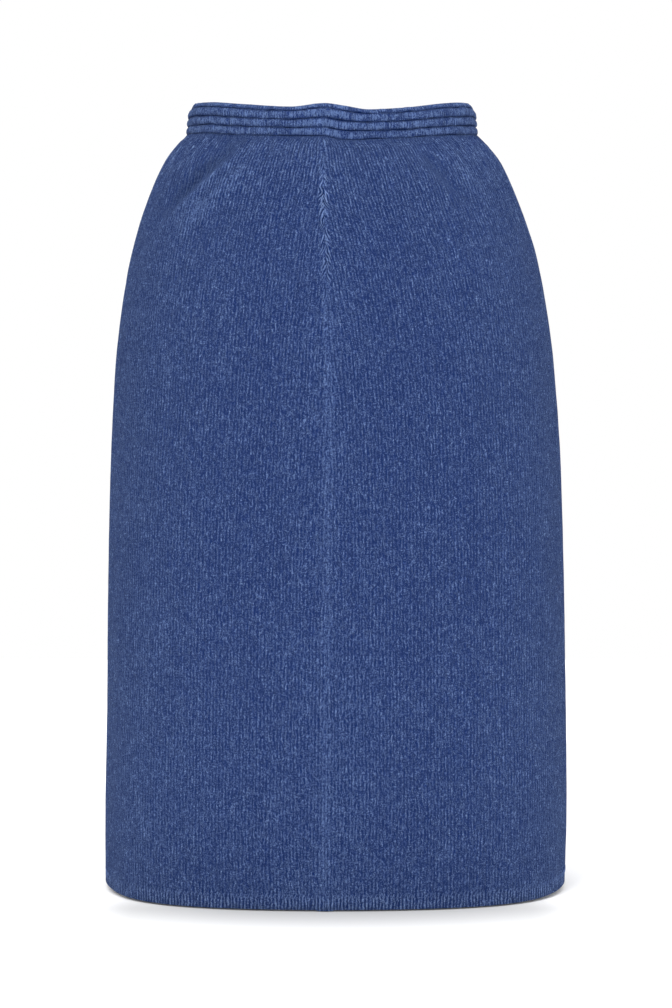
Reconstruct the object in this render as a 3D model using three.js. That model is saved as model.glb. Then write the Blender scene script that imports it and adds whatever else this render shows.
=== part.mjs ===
// A pull-on knit skirt, held in its worn, filled out shape with nobody in it.
// Millimetres, +Z up. The front faces -Y and +X is the wearer's left.
// The origin is the middle of the waist opening, half way up the waistband.
//
// The cloth is described on an unrolled plane: "drop" runs down from the waistband's top edge,
// and "girth" runs round the body from the centre of the front, towards the wearer's left.
import * as THREE from "three";

// Driving sizes
const LENGTH = 700; // waistband's top edge to hem, down the side
const BAND_HEIGHT = 27;
const CLOTH = 2; // thickness of the rib knit
const SEAM_GAP = 0.3; // between two pieces that are sewn together
const KNIT_COLOUR = 0x374a7d;
const BAND_COLOUR = 0x4a5c90;

// Waistband: four tunnels, one above the other, with a stitched groove under each
const TUNNEL = { count: 3, height: 7.6, relief: 1.7 }; // the fourth is the folded top edge
const TOP_TUNNEL_HEIGHT = BAND_HEIGHT - TUNNEL.count * TUNNEL.height;
const TUNNEL_STEPS = [0.1, 0.5, 0.9]; // shares of a tunnel's height that get a row of points
const TOP_STEPS = [0.05, 0.25, 0.6];
const TOP_TUCK = 0.9; // how far the folded edge turns inwards on each face of the wall

// Centre front seam: pressed open, so that the cloth stands up a little on both sides of it
const SEAM_RIDGE = { relief: 0.7, foot: 0.1, shoulder: 1, flat: 3.2, end: 5 };

// Hem: turned up inside and caught down, with a shallow groove on the outside
const HEM = { height: 12, groove: 0.5, grooveHalf: 1.4, turning: 1.5, edgeRound: 0.6 };

// Panels
const FRONT_COLUMNS = 21;
const BACK_COLUMNS = 25;
const SIDE_CROWDING = 0.35;
const PANEL_DROPS = [
  31, 35, 40, 46, 53, 61, 70, 79, 89, 100, 112, 126, 142, 160, 182, 208, 240, 280, 325, 375, 430,
  490, 550, 605, 650,
];

// Cross sections of the worn skirt: ovals with their own depth in front and behind. square is how
// far an oval's corners fill out, lean how far its middle stands to the wearer's left of the
// waist's, and seamShift how far the skirt has turned, towards the wearer's right.
const SECTIONS = [
  { drop: 0, halfWidth: 122.5, front: 90, back: 90, square: 0, lean: 0, seamShift: 7.9 },
  { drop: 6, halfWidth: 126, front: 93, back: 93, square: 0, lean: 0, seamShift: 7.9 },
  { drop: 27, halfWidth: 128, front: 95, back: 95, square: 0, lean: 0, seamShift: 7.9 },
  { drop: 34, halfWidth: 135.2, front: 101, back: 100, square: 0, lean: 0, seamShift: 7.8 },
  { drop: 50, halfWidth: 148.2, front: 112, back: 113, square: 0.004, lean: 0, seamShift: 7.6 },
  { drop: 86, halfWidth: 164.6, front: 121, back: 127, square: 0.01, lean: 0.2, seamShift: 7.3 },
  { drop: 131, halfWidth: 179.2, front: 127, back: 139, square: 0.015, lean: 1.2, seamShift: 6.5 },
  { drop: 176, halfWidth: 187.8, front: 130, back: 145, square: 0.018, lean: 1.4, seamShift: 5.4 },
  { drop: 230, halfWidth: 194.5, front: 131, back: 147, square: 0.02, lean: 1.8, seamShift: 4.5 },
  { drop: 356, halfWidth: 201.4, front: 130, back: 142, square: 0.024, lean: 3, seamShift: 7.2 },
  { drop: 536, halfWidth: 205, front: 128, back: 134, square: 0.028, lean: 3.4, seamShift: 9.1 },
  { drop: 640, halfWidth: 206.8, front: 126, back: 130, square: 0.031, lean: 2.8, seamShift: 9 },
  { drop: 700, halfWidth: 206.3, front: 125, back: 127, square: 0.032, lean: 2.7, seamShift: 8.8 },
];

// The waistband waves a little: how far its top and bottom edges stand above their nominal
// height, by angle round the body. 0 is the front and 90 the wearer's left.
const RING = [
  { angle: -180, top: -5, bottom: -3 },
  { angle: -120, top: -4.7, bottom: -1.5 },
  { angle: -90, top: -3.8, bottom: 0.3 },
  { angle: -76, top: 0.5, bottom: 1.4 },
  { angle: -60, top: 1.1, bottom: 1.9 },
  { angle: -39, top: 0.2, bottom: 0.3 },
  { angle: -17, top: -2.4, bottom: -0.7 },
  { angle: -3, top: -0.3, bottom: -1.2 },
  { angle: 5, top: -1.9, bottom: -4.3 },
  { angle: 15, top: -4.6, bottom: -3.6 },
  { angle: 28, top: -3.8, bottom: -2.3 },
  { angle: 54, top: 0.6, bottom: 0.3 },
  { angle: 66, top: 0.6, bottom: 0.6 },
  { angle: 76, top: 0.2, bottom: 0.7 },
  { angle: 90, top: -4, bottom: 0.3 },
  { angle: 120, top: -4.8, bottom: -1.5 },
  { angle: 180, top: -5, bottom: -3 },
];
const RISE_FADE = 170; // the drop at which the waistband's wave has died out

// Soft folds that the elastic draws from the waist. Each runs in a straight line on the
// unrolled plane; girths are counted from the centre of its own side. Depth is inwards.
const FOLDS = [
  { side: "front", girth: -84, drop: 33, toGirth: -168, toDrop: 97, half: 8, depth: 5 },
  { side: "front", girth: -72, drop: 52, toGirth: -150, toDrop: 116, half: 9, depth: -1.8 },
  { side: "front", girth: -86, drop: 88, toGirth: -138, toDrop: 134, half: 8, depth: 1.1 },
  { side: "front", girth: 74, drop: 36, toGirth: 124, toDrop: 86, half: 7, depth: 1.7 },
  { side: "front", girth: 98, drop: 34, toGirth: 150, toDrop: 84, half: 8, depth: -1.1 },
  { side: "front", girth: 150, drop: 30, toGirth: 166, toDrop: 58, half: 6, depth: 1.3 },
  { side: "back", girth: -80, drop: 35, toGirth: -146, toDrop: 95, half: 8, depth: 2.6 },
  { side: "back", girth: -64, drop: 54, toGirth: -128, toDrop: 112, half: 9, depth: -1.2 },
  { side: "back", girth: 72, drop: 34, toGirth: 152, toDrop: 104, half: 8, depth: 3 },
  { side: "back", girth: 60, drop: 56, toGirth: 130, toDrop: 120, half: 9, depth: -1.3 },
];

// Value of one column of a table at a place between its rows, by monotone cubic interpolation
function tableValue(table, by, column, at) {
  const last = table.length - 1;
  const here = Math.min(Math.max(at, table[0][by]), table[last][by]);
  const next = Math.max(
    table.findIndex((row) => row[by] >= here),
    1,
  );
  const secant = (i) =>
    (table[i + 1][column] - table[i][column]) / (table[i + 1][by] - table[i][by]);
  const slope = (i) => {
    if (i === 0) return secant(0);
    if (i === last) return secant(last - 1);
    const [before, after] = [secant(i - 1), secant(i)];
    return before * after > 0 ? (2 * before * after) / (before + after) : 0;
  };
  const [from, to] = [table[next - 1], table[next]];
  const span = to[by] - from[by];
  const t = (here - from[by]) / span;
  const rest = 1 - t;
  return (
    from[column] * (1 + 2 * t) * rest * rest +
    to[column] * (3 - 2 * t) * t * t +
    span * t * rest * (slope(next - 1) * rest - slope(next) * t)
  );
}

// Place on an oval section at an angle round it, seen from above
function ovalPoint(section, angle) {
  const { halfWidth, square, lean } = section;
  const depth = Math.cos(angle) > 0 ? section.front : section.back;
  const across = (Math.sin(angle) + square * Math.sin(3 * angle)) / (1 - square);
  const forwards = (Math.cos(angle) - square * Math.cos(3 * angle)) / (1 - square);
  return new THREE.Vector2(lean + halfWidth * across, -depth * forwards);
}

// One cross section: its sizes, and the girth at each angle round it
const ANGLE_STEPS = 144;
const sectionCache = new Map();
function sectionAt(drop) {
  if (!sectionCache.has(drop)) {
    const columns = Object.keys(SECTIONS[0]).filter((column) => column !== "drop");
    const section = Object.fromEntries(
      columns.map((column) => [column, tableValue(SECTIONS, "drop", column, drop)]),
    );
    const angles = Array.from({ length: ANGLE_STEPS + 1 }, (_, i) => (i * Math.PI) / ANGLE_STEPS);
    const points = angles.map((angle) => ovalPoint(section, angle));
    const girths = [0];
    for (let i = 1; i <= ANGLE_STEPS; i += 1)
      girths.push(girths[i - 1] + points[i].distanceTo(points[i - 1]));
    section.girths = girths;
    section.quarter = girths[ANGLE_STEPS / 2];
    section.half = girths[ANGLE_STEPS];
    sectionCache.set(drop, section);
  }
  return sectionCache.get(drop);
}

// Angle round the body, in radians, of a girth that lies within half a turn of the front
function angleAt(section, girth) {
  const away = Math.min(Math.abs(girth), section.half);
  const next = Math.max(
    section.girths.findIndex((g) => g >= away),
    1,
  );
  const before = section.girths[next - 1];
  const share = (away - before) / (section.girths[next] - before);
  return (Math.sign(girth) * (next - 1 + share) * Math.PI) / ANGLE_STEPS;
}

// How far the waistband's wave lifts the cloth at an angle and a drop
function riseAt(angle, drop) {
  const degrees = THREE.MathUtils.radToDeg(angle);
  const bottom = tableValue(RING, "angle", "bottom", degrees);
  if (drop >= BAND_HEIGHT)
    return bottom * (1 - THREE.MathUtils.smoothstep(drop, BAND_HEIGHT, RISE_FADE));
  const top = tableValue(RING, "angle", "top", degrees);
  return THREE.MathUtils.lerp(top, bottom, drop / BAND_HEIGHT);
}

// How far the folds press the cloth inwards at a place on the unrolled plane
function foldDepthAt(section, girth, drop) {
  const backGirth = girth - Math.sign(girth) * section.half;
  const onFront = Math.abs(girth) < section.quarter;
  return FOLDS.filter((fold) => (fold.side === "front") === onFront).reduce((sum, fold) => {
    const start = new THREE.Vector2(fold.girth, fold.drop);
    const run = new THREE.Vector2(fold.toGirth, fold.toDrop).sub(start);
    const place = new THREE.Vector2(onFront ? girth : -backGirth, drop).sub(start);
    const along = place.dot(run) / run.lengthSq();
    const across = Math.abs(place.cross(run)) / run.length();
    const fade = THREE.MathUtils.smoothstep(along, -0.15, 0.25);
    const end = 1 - THREE.MathUtils.smoothstep(along, 0.6, 1.15);
    return sum + fold.depth * fade * end * Math.exp(-((across / fold.half) ** 2));
  }, 0);
}

// The plain body form, with no folds, at a girth and a drop
function bodyPoint(girth, drop) {
  const section = sectionAt(drop);
  const full = 2 * section.half;
  const wrapped = girth - full * Math.round(girth / full);
  const angle = angleAt(section, wrapped);
  const { x, y } = ovalPoint(section, angle);
  return new THREE.Vector3(x, y, BAND_HEIGHT / 2 - drop + riseAt(angle, drop));
}

// The cloth's outside at a girth and a drop, moved out by a relief
function clothPoint(girth, drop, relief) {
  const reach = 0.5;
  const low = Math.min(drop + reach, LENGTH);
  const across = bodyPoint(girth + reach, drop).sub(bodyPoint(girth - reach, drop));
  const down = bodyPoint(girth, low).sub(bodyPoint(girth, low - 2 * reach));
  const outwards = down.cross(across).normalize();
  const section = sectionAt(drop);
  const full = 2 * section.half;
  const wrapped = girth - full * Math.round(girth / full);
  const fold = drop > BAND_HEIGHT ? foldDepthAt(section, wrapped, drop) : 0;
  return bodyPoint(girth, drop).addScaledVector(outwards, relief - fold);
}

// Height of the pressed-open seam beside the centre front, by the distance from it
function seamRelief(distance) {
  const { relief, foot, shoulder, flat, end } = SEAM_RIDGE;
  if (distance < shoulder) return THREE.MathUtils.lerp(foot, relief, distance / shoulder);
  return relief * (1 - THREE.MathUtils.smoothstep(distance, flat, end));
}

// Closed wall between an outer and an inner grid of points, both [column][row]
function wallGeometry(outer, inner) {
  const columns = outer.length;
  const rows = outer[0].length;
  const positions = [...outer, ...inner].flat().flatMap((point) => point.toArray());
  const out = (c, r) => c * rows + r;
  const within = (c, r) => (columns + c) * rows + r;
  const index = [];
  const quad = (a, b, c, d) => index.push(a, b, c, a, c, d);
  for (let c = 0; c + 1 < columns; c += 1) {
    for (let r = 0; r + 1 < rows; r += 1) {
      quad(out(c, r), out(c, r + 1), out(c + 1, r + 1), out(c + 1, r));
      quad(within(c, r), within(c + 1, r), within(c + 1, r + 1), within(c, r + 1));
    }
    quad(out(c, 0), out(c + 1, 0), within(c + 1, 0), within(c, 0));
    quad(out(c, rows - 1), within(c, rows - 1), within(c + 1, rows - 1), out(c + 1, rows - 1));
  }
  for (let r = 0; r + 1 < rows; r += 1) {
    quad(out(0, r), within(0, r), within(0, r + 1), out(0, r + 1));
    const end = columns - 1;
    quad(out(end, r), out(end, r + 1), within(end, r + 1), within(end, r));
  }
  const geometry = new THREE.BufferGeometry();
  geometry.setAttribute("position", new THREE.Float32BufferAttribute(positions, 3));
  geometry.setIndex(index);
  geometry.computeVertexNormals();
  return geometry;
}

// Rows of a panel: where each lies, and how far its outside and inside stand from the cloth
function panelRows() {
  const row = (drop, outside = 0, inside = -CLOTH) => ({ drop, outside, inside });
  const { height, groove, grooveHalf, turning, edgeRound } = HEM;
  const stitched = LENGTH - height;
  const turned = -CLOTH - turning;
  return [
    row(BAND_HEIGHT + SEAM_GAP),
    ...PANEL_DROPS.map((drop) => row(drop)),
    row(stitched - 2 * grooveHalf),
    row(stitched, -groove),
    row(stitched + grooveHalf, 0, turned),
    row(LENGTH - edgeRound, 0, turned),
    row(LENGTH, -edgeRound, turned + edgeRound),
  ];
}

// The panels, in their order round the body. seamAt gives the girth of a panel's two seams on a
// section, and ridge says which of them is the pressed-open centre front seam.
const PANELS = [
  {
    name: "front_left",
    seamAt: ({ seamShift, quarter }) => [-seamShift, quarter - seamShift],
    columns: FRONT_COLUMNS,
    ridge: "start",
  },
  {
    name: "back",
    seamAt: ({ seamShift, quarter, half }) => [
      quarter - seamShift,
      2 * half - quarter - seamShift,
    ],
    columns: BACK_COLUMNS,
    ridge: null,
  },
  {
    name: "front_right",
    seamAt: ({ seamShift, quarter }) => [-quarter - seamShift, -seamShift],
    columns: FRONT_COLUMNS,
    ridge: "end",
  },
];

// Girth of a panel's column at a drop, and its distance from the centre front seam. The first few
// columns beside that seam follow its ridge, and the others draw closer towards the side, where
// the cloth bends most.
function columnPlace({ seamAt, columns, ridge }, column, drop) {
  const [fromSeam, toSeam] = seamAt(sectionAt(drop));
  const from = fromSeam + SEAM_GAP / 2;
  const to = toSeam - SEAM_GAP / 2;
  const width = to - from;
  if (!ridge) return { girth: from + (width * column) / columns, distance: Infinity };
  const { shoulder, flat, end } = SEAM_RIDGE;
  const close = [0, shoulder, flat, end];
  const last = close.length - 1;
  const place = ridge === "start" ? column : columns - column;
  const share = (place - last) / (columns - last);
  const crowded = share * (1 + SIDE_CROWDING * (1 - share));
  const distance = place <= last ? close[place] : THREE.MathUtils.lerp(end, width, crowded);
  return { girth: ridge === "start" ? from + distance : to - distance, distance };
}

function panelGeometry(panel) {
  const rows = panelRows();
  const face = (side) => (column) =>
    rows.map((row) => {
      const { girth, distance } = columnPlace(panel, column, row.drop);
      const relief = side === "outside" && panel.ridge ? seamRelief(distance) : 0;
      return clothPoint(girth, row.drop, row[side] + relief);
    });
  const columns = Array.from({ length: panel.columns + 1 }, (_, column) => column);
  return wallGeometry(columns.map(face("outside")), columns.map(face("inside")));
}

// Rows of the waistband, from its folded top edge down to its last groove
function bandRows() {
  const row = (drop, outside, inside = -CLOTH) => ({ drop, outside, inside });
  const bulge = (share) => TUNNEL.relief * Math.sqrt(1 - (2 * share - 1) ** 2);
  const rows = [row(0, -TOP_TUCK, TOP_TUCK / 2 - CLOTH)];
  TOP_STEPS.forEach((share) =>
    rows.push(row(share * TOP_TUNNEL_HEIGHT, bulge(share) - TOP_TUCK * (1 - share))),
  );
  for (let i = 0; i < TUNNEL.count; i += 1) {
    const top = TOP_TUNNEL_HEIGHT + i * TUNNEL.height;
    rows.push(row(top, 0));
    TUNNEL_STEPS.forEach((share) => rows.push(row(top + share * TUNNEL.height, bulge(share))));
  }
  rows.push(row(BAND_HEIGHT, 0));
  return rows;
}

// The waistband is one strip that goes right round and meets itself at the centre front. Its
// columns carry on those of the panels, so that their edges run side by side.
function bandGeometry() {
  const rows = bandRows();
  const columns = PANELS.flatMap((panel, order) => {
    const all = Array.from({ length: panel.columns + 1 }, (_, column) => ({ panel, column }));
    return order === 0 ? all : all.slice(1);
  });
  const face = (side) => (place) =>
    rows.map((row) => {
      const { girth } = columnPlace(place.panel, place.column, row.drop);
      return clothPoint(girth, row.drop, row[side]);
    });
  return wallGeometry(columns.map(face("outside")), columns.map(face("inside")));
}

function cloth(name, geometry, color) {
  const material = new THREE.MeshStandardMaterial({ color, roughness: 0.95, metalness: 0 });
  const mesh = new THREE.Mesh(geometry, material);
  mesh.name = name;
  return mesh;
}

const skirt = new THREE.Group();
PANELS.forEach((panel) => skirt.add(cloth(panel.name, panelGeometry(panel), KNIT_COLOUR)));
skirt.add(cloth("waistband", bandGeometry(), BAND_COLOUR));

export default skirt;
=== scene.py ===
"""The looks of a pull-on rib knit skirt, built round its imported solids.

Sizes in the tables and in the shape functions are in millimetres. A piece's mesh is in metres, in
the solids' frame: +Z up, the front faces -Y, and the origin is the middle of the waist opening.
The cloth is described on an unrolled plane, by its drop from the waistband's top edge and its
girth, which runs round the body from the centre front towards the wearer's left.
"""

import math
from functools import lru_cache

import bmesh
import bpy
import numpy as np
from bpy.props import FloatProperty, FloatVectorProperty, PointerProperty
from mathutils import Matrix, Vector


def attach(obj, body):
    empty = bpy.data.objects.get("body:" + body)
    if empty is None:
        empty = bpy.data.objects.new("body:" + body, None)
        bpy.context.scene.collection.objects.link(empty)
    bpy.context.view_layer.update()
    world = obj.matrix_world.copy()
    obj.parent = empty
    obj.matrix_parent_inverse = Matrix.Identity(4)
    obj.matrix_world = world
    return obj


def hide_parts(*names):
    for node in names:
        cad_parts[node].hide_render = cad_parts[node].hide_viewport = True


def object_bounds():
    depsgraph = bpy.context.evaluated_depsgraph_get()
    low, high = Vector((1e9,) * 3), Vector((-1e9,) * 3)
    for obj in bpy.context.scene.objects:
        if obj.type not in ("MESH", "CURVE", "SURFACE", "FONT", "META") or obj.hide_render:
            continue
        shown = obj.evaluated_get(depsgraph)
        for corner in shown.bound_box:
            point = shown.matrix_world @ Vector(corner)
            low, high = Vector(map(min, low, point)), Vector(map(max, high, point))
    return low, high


bl_info = {
    "name": "Rib knit skirt",
    "version": (1, 0, 0),
    "blender": (4, 5, 0),
    "location": "3D View > Sidebar > Skirt",
    "description": "Builds a pull-on rib knit skirt with a ruched waistband",
    "category": "Add Mesh",
}

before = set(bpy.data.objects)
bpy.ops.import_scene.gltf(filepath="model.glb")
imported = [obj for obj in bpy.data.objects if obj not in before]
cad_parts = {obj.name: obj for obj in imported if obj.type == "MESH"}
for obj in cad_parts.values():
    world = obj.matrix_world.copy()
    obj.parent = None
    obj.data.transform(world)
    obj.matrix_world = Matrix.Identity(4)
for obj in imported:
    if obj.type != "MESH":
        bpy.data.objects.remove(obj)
CAD_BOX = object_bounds()

MM = 0.001
SEED = 7

# Cross sections of the worn skirt: ovals with their own depth in front and behind. square is how
# far an oval's corners fill out, lean how far its middle stands to the wearer's left of the
# waist's, and seam_shift how far the skirt has turned, towards the wearer's right.
SECTION_COLUMNS = ("drop", "half_width", "front", "back", "square", "lean", "seam_shift")
SECTIONS = (
    (0, 122.8, 90, 90, 0, 0, 7.9),
    (6, 126.4, 93, 93, 0, 0, 7.9),
    (27, 128.6, 95, 95, 0, 0, 7.9),
    (34, 135.6, 101, 100, 0, 0, 7.8),
    (50, 148.4, 112, 113, 0.004, 0, 7.6),
    (86, 164.9, 121, 127, 0.01, 0.2, 7.3),
    (131, 179.6, 127, 139, 0.015, 1.2, 6.5),
    (176, 188.4, 130, 145, 0.018, 1.6, 5.4),
    (230, 195.3, 131, 147, 0.02, 2.1, 4.5),
    (356, 202.4, 130, 142, 0.024, 3.4, 7.2),
    (536, 205.8, 128, 134, 0.028, 3.7, 9.1),
    (640, 207.5, 126, 130, 0.031, 3.1, 9),
    (700, 206.8, 125, 127, 0.032, 2.9, 8.8),
)

# The waistband's wave: how far its top and bottom edges stand above their nominal height, by
# angle round the body. 0 is the front and 90 the wearer's left.
RING_COLUMNS = ("angle", "top", "bottom")
RING = (
    (-180, -5, -3),
    (-120, -4.6, -1.5),
    (-90, -3.4, 0.3),
    (-76, 1.6, 1.4),
    (-60, 2.3, 1.9),
    (-39, 0.3, 0.3),
    (-17, -2, -0.7),
    (-3, 0.9, -1.2),
    (5, -1.3, -4.3),
    (15, -4.4, -3.6),
    (28, -3.2, -2.3),
    (54, 1.3, 0.3),
    (66, 2.1, 0.6),
    (76, 1.6, 0.7),
    (90, -3.5, 0.3),
    (120, -4.7, -1.5),
    (180, -5, -3),
)

# The drop at which the cloth no longer follows the waistband's wave
RISE_FADE = 170

# How much higher the hem hangs at the side seams
HEM_SIDE_RISE = 4.4

# Soft folds drawn from the waist. Each runs straight on the unrolled plane, its girths counted
# from the centre of its own side, and its depth is inwards.
FOLD_COLUMNS = ("side", "girth", "drop", "to_girth", "to_drop", "half", "depth")
FOLDS = (
    ("front", -86, 28, -174, 99, 7, 4.6),
    ("front", -72, 52, -150, 116, 9, -1.8),
    ("front", -86, 88, -138, 134, 8, 1.1),
    ("front", 74, 36, 124, 86, 7, 1.7),
    ("front", 98, 34, 150, 84, 8, -1.1),
    ("front", 150, 30, 166, 58, 6, 1.3),
    ("back", -80, 35, -146, 95, 8, 2.6),
    ("back", -64, 54, -128, 112, 9, -1.2),
    ("back", 72, 34, 152, 104, 8, 3),
    ("back", 60, 56, 130, 120, 9, -1.3),
)

# Small creases that the waistband's gathers draw in the cloth, in the folds' own columns
CREASES = (
    ("front", -84, 32, -170, 101, 4.5, 2.6),
    ("front", -78, 39, -163, 107, 3.4, -2),
    ("front", 20, 30, 31, 54, 1.7, 1.9),
    ("front", 79, 36, 117, 75, 5, 2.6),
    ("front", 92, 46, 124, 78, 4, -0.9),
    ("front", 33, 28, 38, 44, 1.8, 0.6),
    ("front", 62, 28, 70, 50, 2.0, 0.6),
    ("front", 88, 28, 104, 58, 2.2, 0.9),
    ("front", 112, 29, 128, 52, 2.0, 0.8),
    ("front", -26, 28, -30, 46, 1.8, 0.6),
    ("front", -52, 28, -60, 52, 2.0, 0.7),
    ("front", -70, 28, -82, 48, 1.8, 0.6),
    ("front", -108, 29, -124, 60, 2.2, 0.9),
    ("back", -110, 28, -128, 58, 2.2, 0.9),
    ("back", -48, 28, -54, 50, 2.0, 0.7),
    ("back", -12, 28, -14, 46, 1.8, 0.6),
    ("back", 24, 28, 28, 52, 1.9, 0.7),
    ("back", 66, 28, 76, 50, 2.0, 0.8),
    ("back", 118, 28, 134, 60, 2.2, 0.9),
)

# Width of one rib and height of one course on the plane that the knit's pattern is laid on
RIB = 3
COURSE = 2.3

# How far a panel's seam attribute reaches from the centre front seam, and the distance given to a
# panel with no edge on it
SEAM_REACH = 8
FAR_FROM_SEAM = 99

# Pitch of the ribs, which the elastic draws together
PITCH_COLUMNS = ("drop", "pitch")
PITCHES = ((0, 2.4), (27, 2.45), (50, 2.75), (86, 2.9), (176, 3), (700, 3))

# Places where the gathers pinch the waistband hardest
PINCH_COLUMNS = ("girth", "half", "depth")
PINCHES = (
    (-96, 1.6, 0.7),
    (-58, 1.3, 0.5),
    (-27, 1.5, 0.5),
    (12, 1.4, 0.6),
    (47, 1.3, 1.1),
    (58, 1.2, 0.5),
    (104, 1.5, 0.6),
    (171, 1.6, 0.7),
    (238, 1.5, 0.6),
    (306, 1.6, 0.8),
    (-149, 1.4, 0.6),
    (-214, 1.6, 0.7),
    (-277, 1.5, 0.6),
)

# The waistband's elastic tunnels, from its lower edge up. The last has only the height that is
# left, and its cloth rolls over the top edge, so it ends half way round its bulge. The steps are
# places across a tunnel, from 0 in its lower groove to 1 in the next.
TUNNELS = 4
TUNNEL_HEIGHT = 7.6
TUNNEL_STEPS = (0, 0.05, 0.13, 0.27, 0.5, 0.73, 0.87, 0.95)
TOP_STEPS = (0, 0.04, 0.11, 0.225, 0.34, 0.43)

# Points round the waistband, from the centre front seam towards the wearer's left, and its ribs
BAND_COLUMNS = 744
BAND_RIBS = 288
BAND_SHARE = np.linspace(0, 1, BAND_COLUMNS + 1)
BAND_TURN = BAND_SHARE * 2 * math.pi

# How worn the waistband's inside is
INSIDE_WORN = 0.2

# How much longer the strip for the waistband is than its gathered girth, and how much of its height
# the tunnels take up
TUNNEL_TAKE_UP = 1.22

# How much longer a panel's cloth is, down its slope and over its folds, than its drop
SLOPE_EXTRA = 14

# Pitch of the hem's slanting stitches, and how far each may be out of step
HEM_STITCH_PITCH = 3.7
HEM_STITCH_SHIFT = 0.35

# The centre seam's stitches: the drops that they run between, and their pitch
SEAM_STITCH_DROPS = (52, 200)
SEAM_STITCH_PITCH = 6.5

# The studio's soft lights, in metres and watts, and what they all point at
LIGHT_COLUMNS = ("name", "place", "size", "power")
LIGHTS = (
    ("key", (-1.2, -2.8, 1.4), 1.4, 58),
    ("fill", (1.9, -2.4, -0.5), 1.8, 50),
    ("top", (0, -0.6, 2.6), 3.0, 60),
)
LIT_POINT = (0, 0, -0.3)

# The camera, in metres. Its focal length is in pixels of a picture of this height.
CAMERA_PLACE = (0.0034, -3.5, -0.033)
CAMERA_AIM = (0.0034, 0, -0.3418)
FOCAL_PIXELS = 3923.5
PICTURE_HEIGHT = 1008
SENSOR_HEIGHT = 36

# The floor's half width, and how far it lies under the hem, in metres
FLOOR_REACH = 1.6
FLOOR_GAP = 0.0011


def named(columns, rows):
    """Rows of a table as dicts."""
    return [dict(zip(columns, row)) for row in rows]


SECTION_ROWS = named(SECTION_COLUMNS, SECTIONS)
RING_ROWS = named(RING_COLUMNS, RING)
FOLD_ROWS = named(FOLD_COLUMNS, FOLDS + CREASES)
PITCH_ROWS = named(PITCH_COLUMNS, PITCHES)
PINCH_ROWS = named(PINCH_COLUMNS, PINCHES)


class SkirtSizes(bpy.types.PropertyGroup):
    """Sizes of the skirt's pieces."""

    length: FloatProperty(
        name="Length",
        description="From the waistband's top edge to the hem, down the side",
        default=0.7,
        unit="LENGTH",
    )
    band_height: FloatProperty(
        name="Waistband height",
        description="Height of the waistband",
        default=0.027,
        unit="LENGTH",
    )
    cloth: FloatProperty(
        name="Cloth thickness",
        description="Thickness of the rib knit",
        default=0.0016,
        unit="LENGTH",
    )
    rib_height: FloatProperty(
        name="Rib height",
        description="How far the ribs stand out of the cloth",
        default=0.00045,
        unit="LENGTH",
    )
    tunnel_relief: FloatProperty(
        name="Tunnel relief",
        description="How far the waistband's elastic tunnels stand out of its grooves",
        default=0.0016,
        unit="LENGTH",
    )
    seam_relief: FloatProperty(
        name="Seam relief",
        description="Height of the pressed-open centre front seam",
        default=0.0008,
        unit="LENGTH",
    )
    hem_height: FloatProperty(
        name="Hem height",
        description="Height of the turned-up hem",
        default=0.012,
        unit="LENGTH",
    )


class SkirtColours(bpy.types.PropertyGroup):
    """Colours of the skirt's yarn and sewing."""

    deep: FloatVectorProperty(
        name="Deep yarn",
        description="Colour between the ribs and down in the cloth",
        default=(0.0075, 0.0205, 0.097),
        size=3,
        min=0,
        max=1,
        subtype="COLOR",
    )
    yarn: FloatVectorProperty(
        name="Yarn",
        description="Colour of the brushed yarn on the ribs",
        default=(0.055, 0.093, 0.232),
        size=3,
        min=0,
        max=1,
        subtype="COLOR",
    )
    # Laid where washing has worn the cloth, and also as painted highlight on the folds' ridges and
    # the waistband's bulges
    faded_and_highlight: FloatVectorProperty(
        name="Faded yarn",
        description="Colour where washing has worn the cloth",
        default=(0.1, 0.16, 0.345),
        size=3,
        min=0,
        max=1,
        subtype="COLOR",
    )
    # Painted shade colour, laid in the waistband's grooves and pinches, the folds' troughs, under
    # the waistband and between the seam's stitches
    groove: FloatVectorProperty(
        name="Groove",
        description="Colour in the waistband's grooves and between the seam's stitches",
        default=(0.002, 0.011, 0.066),
        size=3,
        min=0,
        max=1,
        subtype="COLOR",
    )
    pale: FloatVectorProperty(
        name="Pale yarn",
        description="Colour of the lightest fibres, and of the stitching",
        default=(0.2, 0.29, 0.52),
        size=3,
        min=0,
        max=1,
        subtype="COLOR",
    )


def sizes():
    """The skirt's sizes in millimetres."""
    found = bpy.context.scene.skirt_sizes
    return {name: getattr(found, name) / MM for name in SkirtSizes.__annotations__}


def table_value(rows, by, column, at):
    """Values of a table's column at places between its rows, by monotone cubic interpolation."""
    x = np.array([row[by] for row in rows], float)
    y = np.array([row[column] for row in rows], float)
    secant = np.diff(y) / np.diff(x)
    both = secant[:-1] * secant[1:]
    total = np.where(both > 0, secant[:-1] + secant[1:], 1)
    slope = np.concatenate(
        ([secant[0]], np.where(both > 0, 2 * both / total, 0), [secant[-1]])
    )
    at = np.clip(at, x[0], x[-1])
    after = np.clip(np.searchsorted(x, at), 1, len(x) - 1)
    before = after - 1
    span = x[after] - x[before]
    t = (at - x[before]) / span
    rest = 1 - t
    return (
        y[before] * (1 + 2 * t) * rest**2
        + y[after] * (3 - 2 * t) * t**2
        + span * t * rest * (slope[before] * rest - slope[after] * t)
    )


def smoothstep(low, high, value):
    """0 below low, 1 above high, and smooth between them."""
    t = np.clip((np.asarray(value, float) - low) / (high - low), 0, 1)
    return t * t * (3 - 2 * t)


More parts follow.
